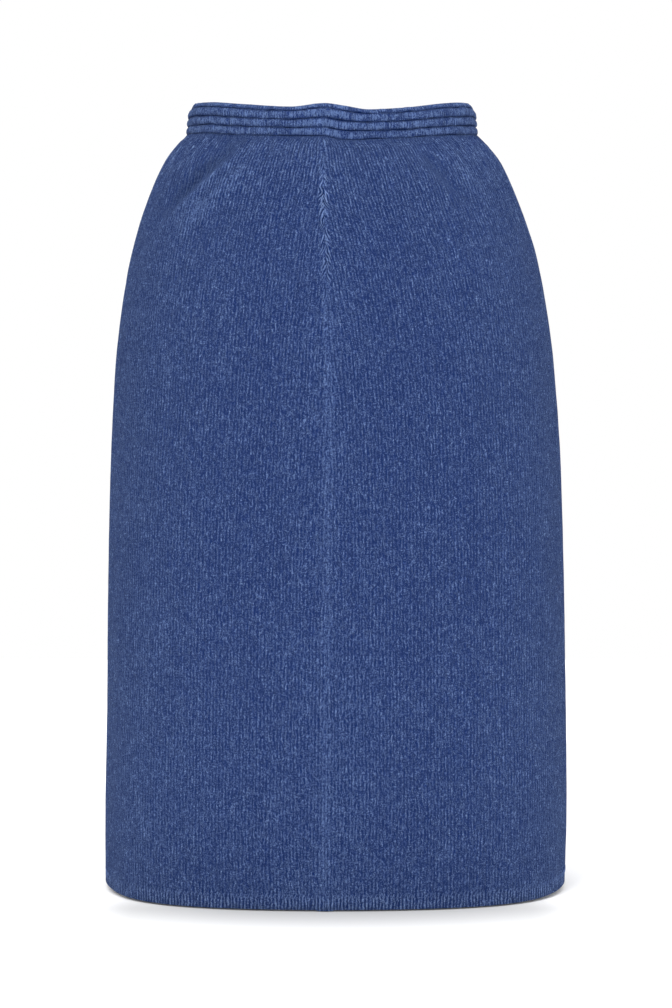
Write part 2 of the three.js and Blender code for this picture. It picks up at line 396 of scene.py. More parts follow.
def soft_noise(x, y, seed):
    """Smooth noise from -1 to 1 over a plane, with a bump or hollow at each whole number."""
    size = 96
    lattice = np.random.default_rng(SEED + seed).uniform(-1, 1, (size, size))
    x, y = np.broadcast_arrays(np.asarray(x, float), np.asarray(y, float))
    left, low = np.floor(x).astype(int), np.floor(y).astype(int)
    across, up = smoothstep(0, 1, x - left), smoothstep(0, 1, y - low)

    def corner(dx, dy):
        return lattice[(left + dx) % size, (low + dy) % size]

    bottom = corner(0, 0) * (1 - across) + corner(1, 0) * across
    top = corner(0, 1) * (1 - across) + corner(1, 1) * across
    return bottom * (1 - up) + top * up


def ring_noise(turn, bumps, row, seed):
    """Smooth noise round a ring, with so many bumps to the turn and no break where it closes."""
    size, rows = 2048, 24
    lattice = np.random.default_rng(SEED + seed).uniform(-1, 1, (rows, size))[:, :bumps]
    place = turn / (2 * math.pi) * bumps
    left = np.floor(place).astype(int)
    across = smoothstep(0, 1, place - left)
    low = math.floor(row)
    up = float(smoothstep(0, 1, row - low))
    total = 0
    for step, weight in ((low, 1 - up), (low + 1, up)):
        line = lattice[step % rows]
        here, ahead = line[left % bumps], line[(left + 1) % bumps]
        total = total + weight * (here * (1 - across) + ahead * across)
    return total


def oval_points(section, angle):
    """Places on an oval section, seen from above."""
    square = section["square"]
    depth = np.where(np.cos(angle) > 0, section["front"], section["back"])
    across = (np.sin(angle) + square * np.sin(3 * angle)) / (1 - square)
    forwards = (np.cos(angle) - square * np.cos(3 * angle)) / (1 - square)
    return section["lean"] + section["half_width"] * across, -depth * forwards


ANGLES = np.linspace(-math.pi, math.pi, 721)


@lru_cache(maxsize=None)
def section_at(drop):
    """One cross section: its sizes, and the girth at each of ANGLES."""
    section = {
        column: float(table_value(SECTION_ROWS, "drop", column, drop))
        for column in SECTION_COLUMNS[1:]
    }
    x, y = oval_points(section, ANGLES)
    run = np.concatenate(([0], np.cumsum(np.hypot(np.diff(x), np.diff(y)))))
    section["girths"] = run - run[-1] / 2
    section["half"] = run[-1] / 2
    section["quarter"] = float(np.interp(math.pi / 2, ANGLES, section["girths"]))
    return section


def wrapped(section, girth):
    """Girths brought within half a turn of the centre front."""
    full = 2 * section["half"]
    return girth - full * np.round(girth / full)


def rise_at(angle, drop):
    """How far the waistband's wave lifts the cloth."""
    band = sizes()["band_height"]
    degrees = np.degrees(angle)
    bottom = table_value(RING_ROWS, "angle", "bottom", degrees)
    if drop >= band:
        return bottom * (1 - smoothstep(band, RISE_FADE, drop))
    top = table_value(RING_ROWS, "angle", "top", degrees)
    return top + (bottom - top) * drop / band


def fold_depth(section, girth, drop):
    """How far the soft folds press the cloth inwards."""
    back_girth = girth - np.sign(girth) * section["half"]
    on_front = np.abs(girth) < section["quarter"]
    total = np.zeros_like(girth)
    for fold in FOLD_ROWS:
        side = on_front if fold["side"] == "front" else ~on_front
        place = girth if fold["side"] == "front" else -back_girth
        run = np.array([fold["to_girth"] - fold["girth"], fold["to_drop"] - fold["drop"]])
        away_girth, away_drop = place - fold["girth"], drop - fold["drop"]
        along = (away_girth * run[0] + away_drop * run[1]) / (run @ run)
        across = np.abs(away_girth * run[1] - away_drop * run[0]) / math.hypot(*run)
        fade = smoothstep(-0.15, 0.25, along) * (1 - smoothstep(0.6, 1.15, along))
        depth = fold["depth"] * fade * np.exp(-((across / fold["half"]) ** 2))
        total += np.where(side, depth, 0)
    return total


def body_points(girth, drop):
    """Points of the plain body form, with no folds, one row for each girth."""
    section = section_at(round(float(drop), 4))
    angle = np.interp(wrapped(section, girth), section["girths"], ANGLES)
    x, y = oval_points(section, angle)
    z = sizes()["band_height"] / 2 - drop + rise_at(angle, drop)
    to_side = (np.abs(np.degrees(angle)) - 90) / 26
    z += HEM_SIDE_RISE * smoothstep(580, 700, drop) * np.exp(-(to_side**2))
    return np.stack([x, y, z], axis=-1)


def outwards(girth, drop):
    """The body form's outward directions."""
    reach = 0.5
    low = min(drop + reach, sizes()["length"])
    across = body_points(girth + reach, drop) - body_points(girth - reach, drop)
    down = body_points(girth, low) - body_points(girth, low - 2 * reach)
    normal = np.cross(down, across)
    return normal / np.linalg.norm(normal, axis=-1, keepdims=True)


def cloth_points(girth, drop, relief):
    """Points of the cloth at girths along one drop, moved out by a relief."""
    girth = np.asarray(girth, float)
    section = section_at(round(float(drop), 4))
    depth = np.zeros_like(girth)
    if drop > sizes()["band_height"]:
        depth = fold_depth(section, wrapped(section, girth), drop)
    return body_points(girth, drop) + outwards(girth, drop) * (relief - depth)[:, None]


# Panels in their order round the body. seams gives the girths of a panel's two edges on a
# section, columns and rows how many faces it has across and down, grain the place across it where
# the ribs run straight down, and front_seam which of its edges lies on the centre front seam.
PANELS = {
    "front_left": {
        "seams": lambda s: (-s["seam_shift"], s["quarter"] - s["seam_shift"]),
        "columns": 352,
        "rows": 134,
        "grain": 0.78,
        "front_seam": "start",
    },
    "back": {
        "seams": lambda s: (
            s["quarter"] - s["seam_shift"],
            2 * s["half"] - s["quarter"] - s["seam_shift"],
        ),
        "columns": 531,
        "rows": 88,
        "grain": 0.72,
        "front_seam": None,
    },
    "front_right": {
        "seams": lambda s: (-s["quarter"] - s["seam_shift"], -s["seam_shift"]),
        "columns": 352,
        "rows": 134,
        "grain": 0.28,
        "front_seam": "end",
    },
}


def panel_rows(count):
    """Drops and reliefs of a panel's rows, from inside the turned-up hem to the waistband."""
    size = sizes()
    length, hem = size["length"], size["hem_height"]
    turned = -2.1 * size["cloth"]
    fold = [
        (length - 0.7, turned),
        (length - 0.15, 0.8 * turned),
        (length, 0.5 * turned),
        (length - 0.15, 0.2 * turned),
        (length - 0.7, 0),
    ]
    inside = [(length - drop, turned) for drop in (hem - 1, 0.6 * hem, 0.25 * hem)]
    left = count - len(fold) - len(inside)
    share = np.linspace(0, 1, left + 1)[1:]
    spread = share + 0.42 * share * (1 - share)
    top = size["band_height"]
    drops = length - 0.7 - spread * (length - 0.7 - top)
    return inside + fold + [(float(drop), 0) for drop in drops]


def panel_relief(girth, from_seam, from_edge, wale, drop):
    """How far a panel's cloth stands out along one drop, and its wear, with painted shade under the
    waistband.
    """
    size = sizes()
    # The ribs, stronger under the waistband and flat beside the centre seam
    near_band = 1 - smoothstep(60, 150, drop)
    beside = smoothstep(2.5, 6, from_seam)
    crest = (0.5 + 0.5 * np.cos(2 * np.pi * wale)) ** 0.8
    strength = 0.75 + 0.4 * near_band + 0.35 * soft_noise(wale * 0.9 + girth / 40, drop / 9, 1)
    relief = size["rib_height"] * (crest - 0.5) * strength * (0.25 + 0.75 * beside)
    # Unevenness of the cloth, and its gathers under the waistband
    relief += 0.5 * soft_noise(girth / 70, drop / 90, 3)
    relief += 0.12 * soft_noise(girth / 9, drop / 16, 4)
    gather = 1 - smoothstep(size["band_height"], 85, drop)
    relief += 0.55 * gather * soft_noise(wale / 3.1, drop / 60, 5)
    # The pressed-open centre seam with its slanting stitches, the side seams and the hem's groove
    ridge = 1 - smoothstep(2.8, 5.5, from_seam)
    chevron = np.cos(2 * np.pi * (drop - 2.2 * from_seam) / 5)
    relief += size["seam_relief"] * ridge * (1 + 0.3 * chevron * (1 - smoothstep(170, 235, drop)))
    side_seam = (1 - smoothstep(0, 1.3, from_edge)) * smoothstep(5, 8, from_seam)
    relief -= 0.45 * side_seam
    hem_line = size["length"] - size["hem_height"]
    relief -= 0.55 * np.exp(-(((drop - hem_line) / 1.6) ** 2))
    # Washing has worn the centre seam most; the side seams are darker, and the cloth just under the
    # waistband gets a painted shade
    worn = 0.27 * ridge * (1 - 0.35 * smoothstep(260, 380, drop))
    worn += 0.09 * np.exp(-((from_seam / 42) ** 2)) - 0.35 * side_seam
    worn -= 1.1 * (1 - smoothstep(size["band_height"] + 0.2, size["band_height"] + 1.7, drop))
    return relief, worn


def lay_grid(name, points, plane, marks):
    """A mesh piece from a bmesh grid, its points laid on the cloth. marks are its attributes."""
    rows, columns = points.shape[0] - 1, points.shape[1] - 1
    shape = bmesh.new()
    bmesh.ops.create_grid(shape, x_segments=columns, y_segments=rows, size=1)
    for edge in shape.edges:
        edge.smooth = not edge.is_boundary
    mesh = bpy.data.meshes.new(name)
    shape.to_mesh(mesh)
    shape.free()
    flat = np.empty(len(mesh.vertices) * 3)
    mesh.vertices.foreach_get("co", flat)
    flat = flat.reshape(-1, 3)
    column = np.rint((flat[:, 0] + 1) / 2 * columns).astype(int)
    row = np.rint((flat[:, 1] + 1) / 2 * rows).astype(int)
    mesh.vertices.foreach_set("co", (points[row, column] * MM).ravel())
    corner = np.empty(len(mesh.loops), int)
    mesh.loops.foreach_get("vertex_index", corner)
    layer = mesh.uv_layers.new(name="knit")
    layer.data.foreach_set("uv", (plane[row, column][corner] * MM).ravel())
    for mark, values in marks.items():
        attribute = mesh.attributes.new(mark, "FLOAT", "POINT")
        attribute.data.foreach_set("value", np.array(values)[row, column])
    for polygon in mesh.polygons:
        polygon.use_smooth = True
    mesh.update()
    piece = bpy.data.objects.new(name, mesh)
    bpy.context.scene.collection.objects.link(piece)
    return piece


def build_panel(name):
    """One panel of rib knit, with its hem turned up."""
    size = sizes()
    panel = PANELS[name]
    columns = panel["columns"]
    rows = panel_rows(panel["rows"])
    share = np.linspace(0, 1, columns + 1)
    points, plane = [], []
    marks = {"worn": [], "seam": []}
    for drop, offset in rows:
        section = section_at(round(float(drop), 4))
        start, end = panel["seams"](section)
        width = end - start
        across = share * width
        girth = start + across
        from_seam = np.full_like(across, FAR_FROM_SEAM)
        if panel["front_seam"] == "start":
            from_seam = across
        if panel["front_seam"] == "end":
            from_seam = width - across
        pitch = float(table_value(PITCH_ROWS, "drop", "pitch", drop))
        wale = (across - panel["grain"] * width) / pitch
        wale += 0.16 * soft_noise(across / 13, drop / 45, 6)
        from_edge = np.minimum(across, width - across)
        relief, worn = panel_relief(girth, from_seam, from_edge, wale, drop)
        if offset < 0:
            relief = np.zeros_like(girth)
        laid = cloth_points(girth, drop, relief + offset)
        low = smoothstep(size["length"] - 30, size["length"], drop)
        laid[:, 2] -= low * (1 - smoothstep(5, 9, from_seam))
        points.append(laid)
        plane.append(np.stack([wale * RIB, np.full_like(wale, -drop)], axis=-1))
        # Painted shade in the folds' troughs and painted highlight on their ridges, put into the
        # wear attribute
        pressed = fold_depth(section, wrapped(section, girth), drop)
        marks["worn"].append(worn - 0.2 * pressed)
        marks["seam"].append(np.minimum(from_seam, SEAM_REACH) * MM)
    piece = lay_grid(name + "_knit", np.array(points), np.array(plane), marks)
    wall = piece.modifiers.new("Cloth", "SOLIDIFY")
    wall.thickness = size["cloth"] * MM
    wall.offset = -1
    wall.use_even_offset = False
    return piece


class Wire:
    """A number that a node gives. Sums, products and the like on it add Math nodes."""

    def __init__(self, surface, socket):
        self.surface = surface
        self.socket = socket

    def _math(self, operation, *others, clamp=False):
        values = dict(enumerate((self, *others)))
        settings = {"operation": operation, "use_clamp": clamp}
        return self.surface.node("ShaderNodeMath", settings, values)

    def _swapped(self, operation, other):
        return self.surface.node("ShaderNodeMath", {"operation": operation}, {0: other, 1: self})

    def __add__(self, other):
        return self._math("ADD", other)

    def __sub__(self, other):
        return self._math("SUBTRACT", other)

    def __mul__(self, other):
        return self._math("MULTIPLY", other)

    def __truediv__(self, other):
        return self._math("DIVIDE", other)

    def __pow__(self, other):
        return self._math("POWER", other)

    def __radd__(self, other):
        return self._swapped("ADD", other)

    def __rsub__(self, other):
        return self._swapped("SUBTRACT", other)

    def __rmul__(self, other):
        return self._swapped("MULTIPLY", other)

    def __rtruediv__(self, other):
        return self._swapped("DIVIDE", other)

    def __abs__(self):
        return self._math("ABSOLUTE")

    def cosine(self):
        return self._math("COSINE")

    def clamped(self):
        return self._math("ADD", 0.0, clamp=True)

    def ramp(self, low, high):
        """0 at low, 1 at high, smooth between them."""
        settings = {"interpolation_type": "SMOOTHSTEP"}
        values = {"Value": self, "From Min": low, "From Max": high}
        return self.surface.node("ShaderNodeMapRange", settings, values)


class Surface:
    """A material's node tree, and the one way of adding nodes to it."""

    def __init__(self, name):
        self.material = bpy.data.materials.new(name)
        self.material.use_nodes = True
        self.tree = self.material.node_tree
        self.tree.nodes.clear()

    def node(self, kind, settings=None, values=None, output=None):
        """Adds a node, sets it, fills its sockets, and gives one of its outputs."""
        node = self.tree.nodes.new(kind)
        for name, value in (settings or {}).items():
            setattr(node, name, value)
        for name, value in (values or {}).items():
            socket = node.inputs[name]
            if isinstance(value, Wire):
                self.tree.links.new(value.socket, socket)
            else:
                socket.default_value = value
        if output is not None:
            return Wire(self, node.outputs[output])
        shown = [socket for socket in node.outputs if socket.enabled]
        return Wire(self, shown[0] if shown else None)

    def axes(self, vector):
        """The X and the Y of a vector."""
        split = self.node("ShaderNodeSeparateXYZ", values={0: vector}).socket.node
        return [Wire(self, split.outputs[axis]) for axis in ("X", "Y")]

    def mix(self, share, first, second):
        """A colour between two colours."""
        values = {"Factor": share, 6: rgba(first), 7: rgba(second)}
        return self.node("ShaderNodeMix", {"data_type": "RGBA"}, values, output=2)


def rgba(colour):
    """A colour with its alpha, or the wire that gives one."""
    return colour if isinstance(colour, Wire) else (*colour, 1)


def knit_material(name, look):
    """Brushed and washed rib knit, from a piece's own knit plane and its attribute of wear and
    painted shade, with painted light and shade laid into its colour.
    """
    colours = bpy.context.scene.skirt_colours
    surface = Surface(name)
    node = surface.node
    across, down = surface.axes(node("ShaderNodeUVMap", {"uv_map": "knit"}))
    drop = 0 - down
    worn = node("ShaderNodeAttribute", {"attribute_name": "worn"}, output="Fac")

    def noise(scale_across, scale_down, detail=2.0, twist=0.0, offset=0.0):
        """Noise with its own size along and across the ribs, in millimetres."""
        place = node(
            "ShaderNodeCombineXYZ",
            values={0: across / (scale_across * MM), 1: down / (scale_down * MM), 2: offset},
        )
        values = {
            "Vector": place,
            "Scale": 1.0,
            "Detail": detail,
            "Roughness": 0.5,
            "Distortion": twist,
        }
        return node("ShaderNodeTexNoise", {"noise_dimensions": "3D"}, values)

    def threads(place):
        """Thin bright curling lines, where a noise crosses its middle."""
        return (1 - abs(place - 0.5) * 16).clamped()

    # The ribs, wandering a little and broken where the brushed yarn lies over them
    wander = noise(4.6, 10, offset=3.7) - 0.5
    hem = drop.ramp(look["hem"] * MM, (look["hem"] + 1.5) * MM)
    rib = ((across / (RIB * MM) + wander * look["wander"]) * (2 * math.pi)).cosine()
    broken = noise(5, 9, offset=9.1).ramp(0.38, 0.6)
    top = 1 - drop.ramp(0.045, 0.13)
    clean = broken * 0.6 + 0.4 + hem * 1.1 + top * 0.45
    # The centre seam's column of slanting stitches
    seam = node("ShaderNodeAttribute", {"attribute_name": "seam"}, output="Fac")
    uneven = noise(9, 13, detail=1.0, offset=6.6)
    slope = down + seam * 2.5 + (uneven - 0.5) * (30 * MM)
    slant = (slope / (SEAM_STITCH_PITCH * MM) * (2 * math.pi)).cosine()
    slant = slant * (uneven.ramp(0.35, 0.58) * 0.9 + 0.1)
    upper = (1 - drop.ramp(0.12, 0.2)) * drop.ramp(0.042, 0.07)
    column = (1 - seam.ramp(3 * MM, 5.2 * MM)) * upper
    # Painted shade in the gaps between the seam's stitches
    between = (0 - slant).clamped() * (1 - seam.ramp(0.8 * MM, 3.2 * MM)) * upper
    # Brushed yarn: wavy lines along the ribs, curls and dents between them, and fine grain
    lines = threads(noise(1.75, 6.2, detail=1.0, twist=0.5, offset=1.3)) * (1 - column * 0.7)
    streaks = threads(noise(2.6, 15, detail=0.0, twist=0.3, offset=8.2)) * (top * 0.5 + 0.5)
    curls = threads(noise(2.1, 2.4, detail=0.0, twist=1.6, offset=5.9)) * (1 - broken * 0.4)
    dents = threads(noise(2.2, 3.2, detail=0.0, twist=1.3, offset=12.6))
    course = ((down / (COURSE * MM) + wander * 3 + rib * 0.12) * (2 * math.pi)).cosine()
    fleck = noise(0.9, 1.6, twist=1.2, offset=4.4).ramp(0.38, 0.62) - 0.5
    grain = noise(1.1, 1.1, detail=0.0, offset=7.7).ramp(0.42, 0.66)
    cloud = noise(24, 38, offset=2.2) - 0.5
    height = (
        rib * clean * (1 - column * 0.8) * look["rib"]
        + slant * column * look["slant"]
        + course * (1 - broken * 0.6) * look["course"]
        + lines * look["lines"]
        + streaks * look["streaks"]
        + curls * look["curls"]
        + fleck * look["fleck"]
        + grain * look["grain"]
        - dents * look["dents"]
    )
    light = height + look["middle"] + worn * look["wear_and_shade_weight"] + cloud * look["cloud"]
    # Painted light: lighter at the hem and down the lower skirt, and painted shade just under the
    # waistband, for how the light falls there
    low = drop.ramp(0.3, 0.7)
    light = light + hem * 0.17 + low * 0.1 - top * 0.06
    lit = surface.mix(light.clamped(), colours.deep, colours.yarn)
    lit = surface.mix(((light - 0.76) * 0.66).clamped(), lit, colours.pale)
    lit = surface.mix((worn * (light * 0.8 + 0.1)).clamped(), lit, colours.faded_and_highlight)
    # Painted shade: the attribute's dark end and the gaps between the seam's stitches darken the
    # colour towards the groove colour
    painted_shade = ((0 - worn) * 0.65 - 0.28).clamped() + between * 0.75
    colour = surface.mix(painted_shade, lit, colours.groove)
    bump = node(
        "ShaderNodeBump",
        values={"Strength": look["bump"], "Distance": 0.0006, "Height": height},
    )
    values = {
        "Base Color": colour,
        "Roughness": 0.92,
        "Specular IOR Level": 0.06,
        "Sheen Weight": look["sheen"],
        "Sheen Roughness": 0.38,
        "Sheen Tint": (0.48, 0.68, 1, 1),
        "Normal": bump,
    }
    shader = node("ShaderNodeBsdfPrincipled", values=values)
    node("ShaderNodeOutputMaterial", values={"Surface": shader})
    return surface.material


PANEL_LOOK = {
    "wander": 1.15,
    "rib": 0.36,
    "slant": 1.6,
    "course": 0.14,
    "lines": 0.8,
    "streaks": 0.62,
    "curls": 1.05,
    "dents": 0.75,
    "fleck": 0.26,
    "grain": 0.5,
    "cloud": 0.22,
    "middle": -0.22,
    "wear_and_shade_weight": 0.5,
    "bump": 0.95,
    "sheen": 0.11,
    "hem": 688,
}
BAND_LOOK = {
    **PANEL_LOOK,
    "wander": 0.8,
    "rib": 0.2,
    "curls": 1.4,
    "dents": 0,
    "middle": -0.3,
    "hem": 9999,
}


def shared_material(name, look):
    """The knit material of that name, made once."""
    return bpy.data.materials.get(name) or knit_material(name, look)


def finish_piece(piece, material, node=None):
    """Gives a piece its material and slot, rides it on the skirt and hides what it stands for."""
    piece.data.materials.append(material)
    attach(piece, "root")
    if node:
        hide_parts(node)
    return piece


def flat_cut(name):
    """Flat width, length and area of a panel as it was cut, with its hem's turning."""
    size = sizes()
    drops = [drop for drop, offset in panel_rows(60) if offset == 0][1:]
    widths = []
    for drop in drops:
        start, end = PANELS[name]["seams"](section_at(round(float(drop), 4)))
        widths.append(end - start)
    length = size["length"] - size["band_height"] + SLOPE_EXTRA + size["hem_height"]
    # The hem's turning, and about as much again for the slope and the folds
    turning = max(widths) * size["hem_height"] * 2
    area = abs(np.trapz(widths, drops)) + turning
    return (max(widths) * MM, length * MM), area * MM * MM


def declare_panel(name):
    """Works out a panel's flat cut, and does nothing more with it."""
    flat, area = flat_cut(name)


def tunnel_rows(band):
    """Rows of the waistband's outside, from its lower edge up."""
    rows = []
    for tunnel in range(TUNNELS):
        groove = band - TUNNEL_HEIGHT * tunnel
        last = tunnel == TUNNELS - 1
        height = 2 * groove if last else TUNNEL_HEIGHT
        for inside in TOP_STEPS if last else TUNNEL_STEPS:
            rows.append((tunnel, inside, height, groove - height * inside))
    return named(("tunnel", "inside", "height", "drop"), rows)


def inner_rows(band):
    """Rows of the waistband's inside, from its top edge down."""
    rows = (
        (0, -1.35, 0.2),
        (0.25, -2.2, -0.25),
        (1.6, -2.9, 0),
        (6, -3.1, 0),
        (13, -3.1, 0),
        (20, -3.1, 0),
        (band, -3, 0),
        (band, -1.4, 0),
    )
    return named(("drop", "offset", "lift"), rows)


def band_girths(section):
    """Girths of a waistband row's points."""
    return -section["seam_shift"] + 2 * section["half"] * BAND_SHARE


def tunnel_form(row):
    """How far a row of the waistband's outside stands out and drifts up, and its wear with painted
    shade and highlight.
    """
    tunnel, inside = row["tunnel"], row["inside"]
    section = section_at(round(float(row["drop"]), 4))
    near = wrapped(section, band_girths(section))
    bulge = math.sqrt(max(0, 1 - (2 * inside - 1) ** 2))
    # 0 at the join on the centre front seam, and 60 at the centre back
    away = np.sin(BAND_TURN / 2) * 60
    side_on = np.exp(-(((np.abs(near) - section["quarter"]) / 22) ** 2))
    # The tunnel's bulge with its puckers, pinches and ribs, flatter at the sides
    pucker = 0.6 * ring_noise(BAND_TURN, 196, tunnel * 1.7 + inside, 21)
    pucker += 0.5 * ring_noise(BAND_TURN, 108, tunnel * 0.6, 22)
    pinch = sum(
        pinch_row["depth"]
        * np.exp(-(((near - pinch_row["girth"] - 1.4 * tunnel) / pinch_row["half"]) ** 2))
        for pinch_row in PINCH_ROWS
    )
    rib = np.cos(BAND_RIBS * BAND_TURN + 1.5 * ring_noise(BAND_TURN, 78, tunnel, 23))
    relief = sizes()["tunnel_relief"] * bulge * (1 + 0.42 * pucker) + 0.12 * rib * bulge
    relief -= pinch * bulge + 0.8 * (1 - bulge) ** 1.5
    relief -= 0.45 * bulge * side_on
    if tunnel == TUNNELS - 1:
        relief -= 1.1 * smoothstep(0, 1, 2 * inside)
    relief += 0.35 * bulge * (1 - smoothstep(2.5, 5.5, away))
    # The sewing's uneven run, which leaves the lower edge straight
    drift = 0.4 * ring_noise(BAND_TURN, 64, tunnel * 2.3, 24)
    drift += 0.3 * ring_noise(BAND_TURN, 138, tunnel * 1.9, 28)
    drift *= 0.4 + (1 - bulge)
    if tunnel == 0 and inside == 0:
        drift *= 0
    # Lighter on the bulge, partly from wear and partly as a painted highlight, and painted shade
    # down in the grooves and pinches
    fade = 0.5 + 0.3 * ring_noise(BAND_TURN, 150, tunnel * 1.3 + 1.5 * inside, 25)
    fade += 0.5 * ring_noise(BAND_TURN, 340, tunnel * 2.1 + 3 * inside, 26)
    painted_groove_shade = 1 - smoothstep(0.3, 1.3, min(inside, 1 - inside) * row["height"])
    shadow = 0.85 + 0.6 * ring_noise(BAND_TURN, 90, tunnel, 27)
    worn = bulge**0.8 * fade - 2.2 * painted_groove_shade * shadow - 0.6 * np.minimum(pinch, 1)
    worn += 0.3 * bulge * (1 - smoothstep(3, 8, away))
    return relief, drift, worn


def build_waistband():
    """The waistband, one closed ring of cloth: up its outside and down its inside."""
    band = sizes()["band_height"]
    rows = [(row["drop"], -row["drop"], *tunnel_form(row)) for row in tunnel_rows(band)]
    rows += [
        (row["drop"], row["drop"], row["offset"], row["lift"], INSIDE_WORN)
        for row in inner_rows(band)
    ]
    points, plane = [], []
    marks = {"worn": [], "seam": []}
    for drop, down, relief, lift, worn in rows:
        girth = band_girths(section_at(round(float(drop), 4)))
        laid = cloth_points(girth, drop, relief)
        laid[:, 2] += lift
        points.append(laid)
        plane.append(np.stack([BAND_SHARE * BAND_RIBS * RIB, np.full_like(girth, down)], axis=-1))
        marks["worn"].append(np.broadcast_to(worn, girth.shape))
        marks["seam"].append(np.full_like(girth, SEAM_REACH * MM))
    for laid_rows in (points, plane, *marks.values()):
        laid_rows.append(laid_rows[0])
    piece = lay_grid("waistband_knit", np.array(points), np.array(plane), marks)
    shape = bmesh.new()
    shape.from_mesh(piece.data)
    bmesh.ops.remove_doubles(shape, verts=shape.verts, dist=1e-6)
    bmesh.ops.recalc_face_normals(shape, faces=shape.faces)
    for edge in shape.edges:
        edge.smooth = True
    shape.to_mesh(piece.data)
    shape.free()
    return piece


class SKIRT_OT_waistband(bpy.types.Operator):
    """Builds the ruched waistband with its four elastic tunnels"""

    bl_idname = "skirt.waistband"
    bl_label = "Waistband"

    def execute(self, context):
        piece = build_waistband()
        material = shared_material("waistband_cloth", BAND_LOOK)
        finish_piece(piece, material, "waistband")
        girth = 2 * section_at(10.0)["half"]
        TUNNEL_TAKE_UP * sizes()["band_height"] * MM
        return {"FINISHED"}


class SKIRT_OT_front_panels(bpy.types.Operator):
    """Builds the two front panels, with the raised seam between them"""

    bl_idname = "skirt.front_panels"
    bl_label = "Front panels"

    def execute(self, context):
        for name in ("front_left", "front_right"):
            piece = build_panel(name)
            finish_piece(piece, shared_material("rib_knit_cloth", PANEL_LOOK), name)
            declare_panel(name)
        return {"FINISHED"}


class SKIRT_OT_back_panel(bpy.types.Operator):
    """Builds the back panel"""

    bl_idname = "skirt.back_panel"
    bl_label = "Back panel"

    def execute(self, context):
        piece = build_panel("back")
        finish_piece(piece, shared_material("rib_knit_cloth", PANEL_LOOK), "back")
        declare_panel("back")
        return {"FINISHED"}


def stitch_material(name, lightness):
    """Brushed sewing yarn, of a lightness between the yarn's colour and the pale one."""
    colours = bpy.context.scene.skirt_colours
    surface = Surface(name)
    node = surface.node
    place = node("ShaderNodeTexCoord", output="Object")
    values = {"Vector": place, "Scale": 900.0, "Detail": 2.0}
    fuzz = node("ShaderNodeTexNoise", values=values)
    values["Scale"] = 60.0
    patch = node("ShaderNodeTexNoise", values=values)
    light = ((fuzz - 0.5) * 1.5 + (patch - 0.5) * 0.9 + lightness).clamped()
    colour = surface.mix(light, colours.yarn, colours.pale)
    shader = node(
        "ShaderNodeBsdfPrincipled",
        values={"Base Color": colour, "Roughness": 0.9, "Specular IOR Level": 0.2},
    )
    node("ShaderNodeOutputMaterial", values={"Surface": shader})
    return surface.material


def stitches(name, starts, ends, width, height):
    """One piece of many small stitches, each a smooth bead lying between two points, in mm."""
    shape = bmesh.new()
    for start, end in zip(starts, ends):
        run = Vector(end - start)
        out = Vector(((start + end) / 2)[:2].tolist() + [0]).normalized()
        along = run.normalized()
        side = out.cross(along).normalized()
        place = Matrix((side * width / 2, side.cross(along) * -height / 2, along * run.length / 2))
        place = place.transposed().to_4x4()
        place.translation = Vector((start + end) / 2)
        bmesh.ops.create_uvsphere(
            shape, u_segments=6, v_segments=5, radius=1, matrix=Matrix.Scale(MM, 4) @ place
        )
    mesh = bpy.data.meshes.new(name)
    bmesh.ops.recalc_face_normals(shape, faces=shape.faces)
    shape.to_mesh(mesh)
    shape.free()
    mesh.shade_smooth()
    piece = bpy.data.objects.new(name, mesh)
    bpy.context.scene.collection.objects.link(piece)
    return piece


def hem_stitch_ends(rng):
    """Lower and upper ends of the hem's slanting stitches."""
    size = sizes()
    line = size["length"] - size["hem_height"]
    full = 2 * section_at(line)["half"]
    count = round(full / HEM_STITCH_PITCH)
    girth = (np.arange(count) + 0.5) * full / count - full / 2
    girth = girth + rng.uniform(-HEM_STITCH_SHIFT, HEM_STITCH_SHIFT, count)
    low = cloth_points(girth - 0.9, line + 1.9, 0.25)
    high = cloth_points(girth + 0.9, line - 2.3, 0.3)
    return low, high


def seam_stitch_ends(rng):
    """Upper and lower ends of the centre seam's stitches, which get fewer down the seam."""
    tops, feet = [], []
    for place in np.arange(*SEAM_STITCH_DROPS, SEAM_STITCH_PITCH):
        drop = place + rng.uniform(-1.1, 1.1)
        section = section_at(round(float(drop), 4))
        for side in (-1, 1):
            if rng.random() < 0.2 + place / 500:
                continue
            reach = rng.uniform(2.1, 4.0)
            middle = -section["seam_shift"] + side * rng.uniform(0.1, 0.6)
            tops.append(cloth_points([middle], drop, 0.75)[0])
            feet.append(cloth_points([middle + side * reach], drop + rng.uniform(4.2, 7.2), 0.6)[0])
    return tops, feet


class SKIRT_OT_stitching(bpy.types.Operator):
    """Sews the hem's slanting stitches and the centre seam's column of stitches"""

    bl_idname = "skirt.stitching"
    bl_label = "Stitching"

    def execute(self, context):
        rng = np.random.default_rng(SEED)
        hem = stitches("hem_stitching", *hem_stitch_ends(rng), 0.85, 0.6)
        finish_piece(hem, stitch_material("hem_yarn", 0.1))
        seam = stitches("centre_seam_stitching", *seam_stitch_ends(rng), 0.8, 0.6)
        finish_piece(seam, stitch_material("seam_yarn", 0.45))
        return {"FINISHED"}


